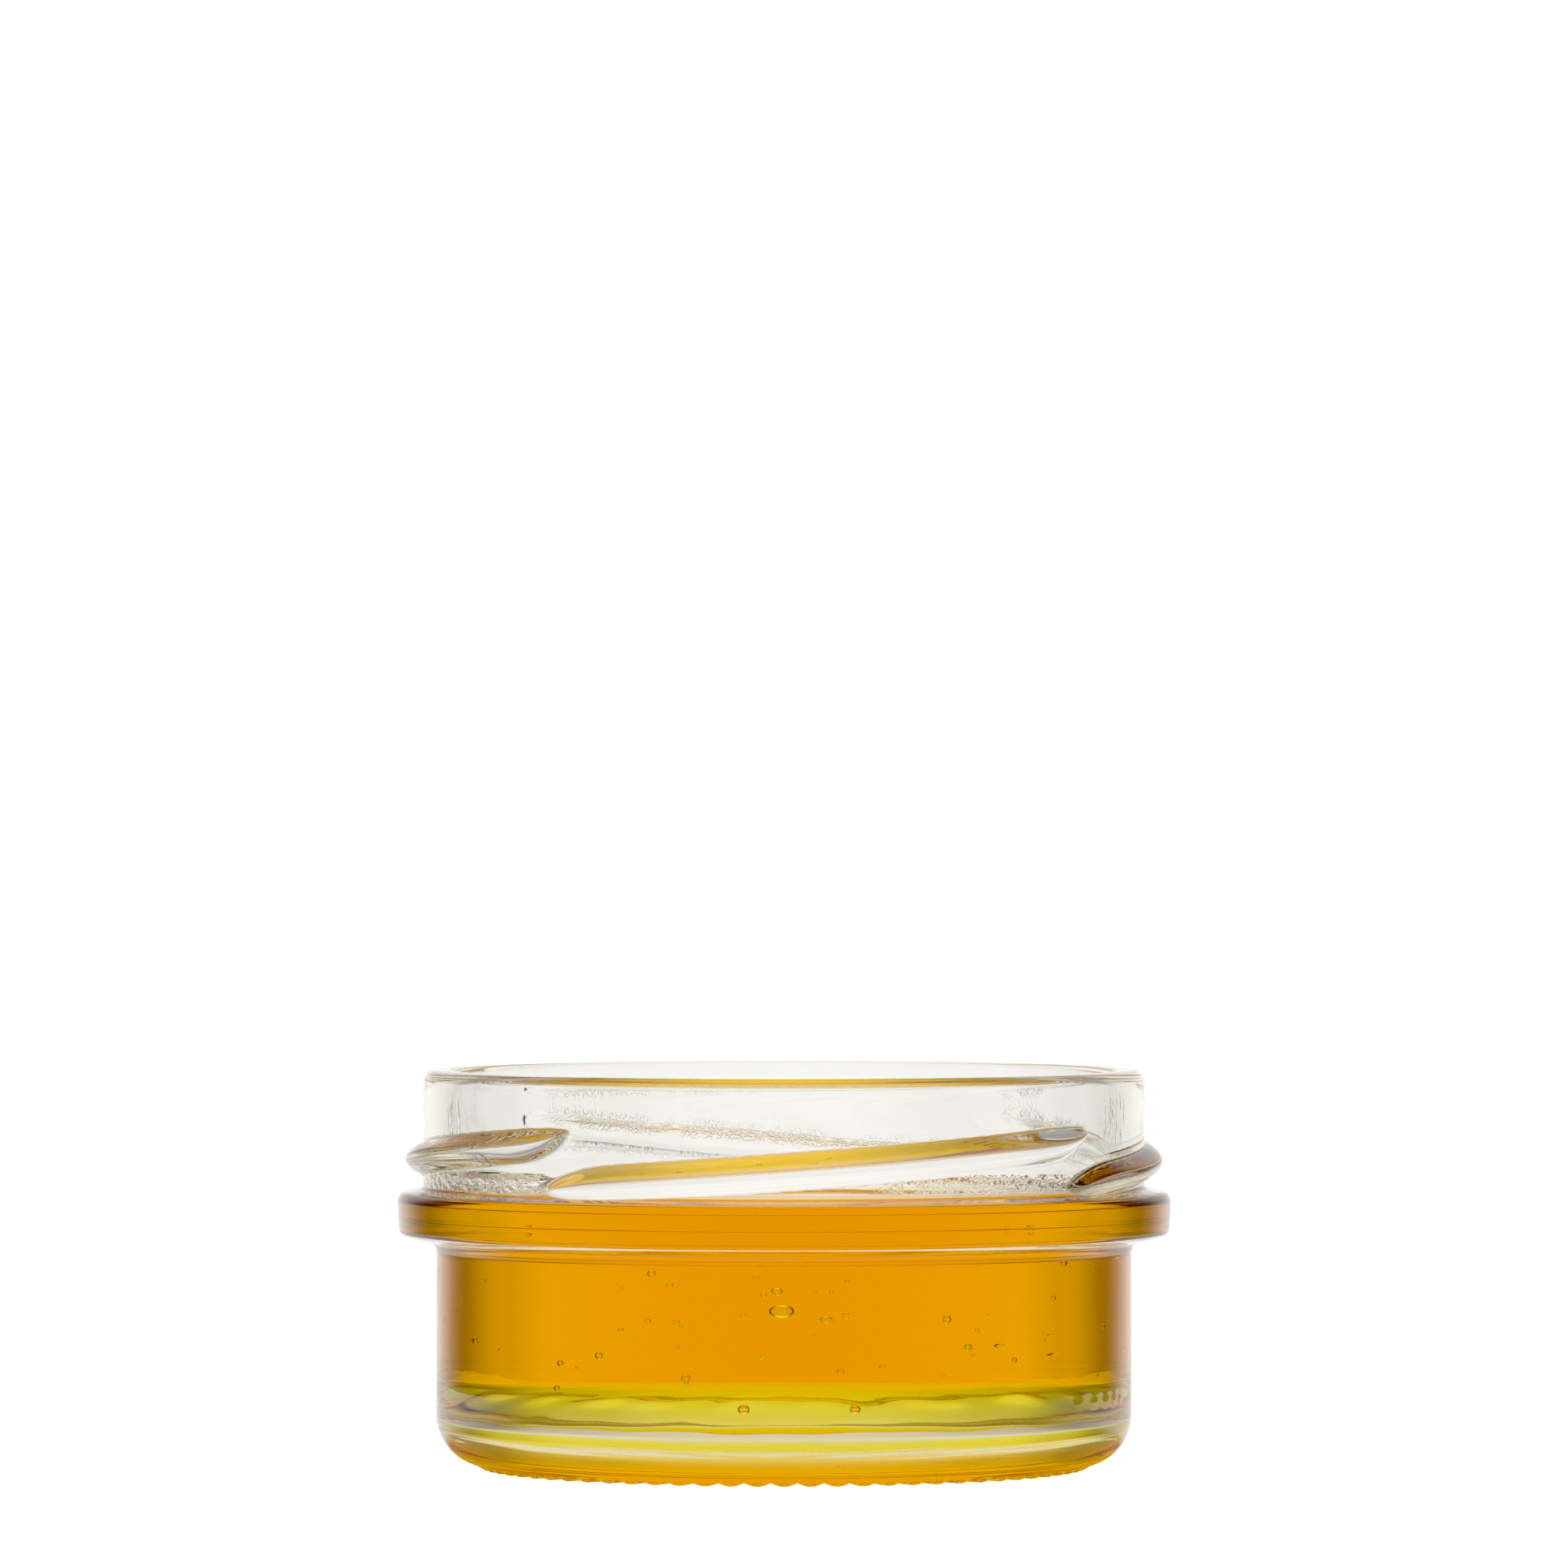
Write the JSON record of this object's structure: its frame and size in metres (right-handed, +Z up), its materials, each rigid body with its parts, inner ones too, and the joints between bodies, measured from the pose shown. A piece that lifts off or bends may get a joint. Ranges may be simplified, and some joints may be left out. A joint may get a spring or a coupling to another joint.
{
  "type": "twist-off jar",
  "caption": "Low round jar of clear glass with slanted lugs for a twist-off lid, a bead below them and a barred standing ring, filled with clear amber honey.",
  "frame": {"origin": "centre of the circle that the jar stands on", "axes": "+Z up along the jar's axis, -Y towards the front, where the pictured lug rises from left to right"},
  "size_m": [0.0672, 0.0672, 0.0346],
  "materials": {
    "clear_glass": "smooth clear pressed glass",
    "honey": "clear amber liquid, glossy"
  },
  "bodies": {
    "root": {"glass_jar": "clear_glass", "honey": "honey"}
  },
  "joints": []
}
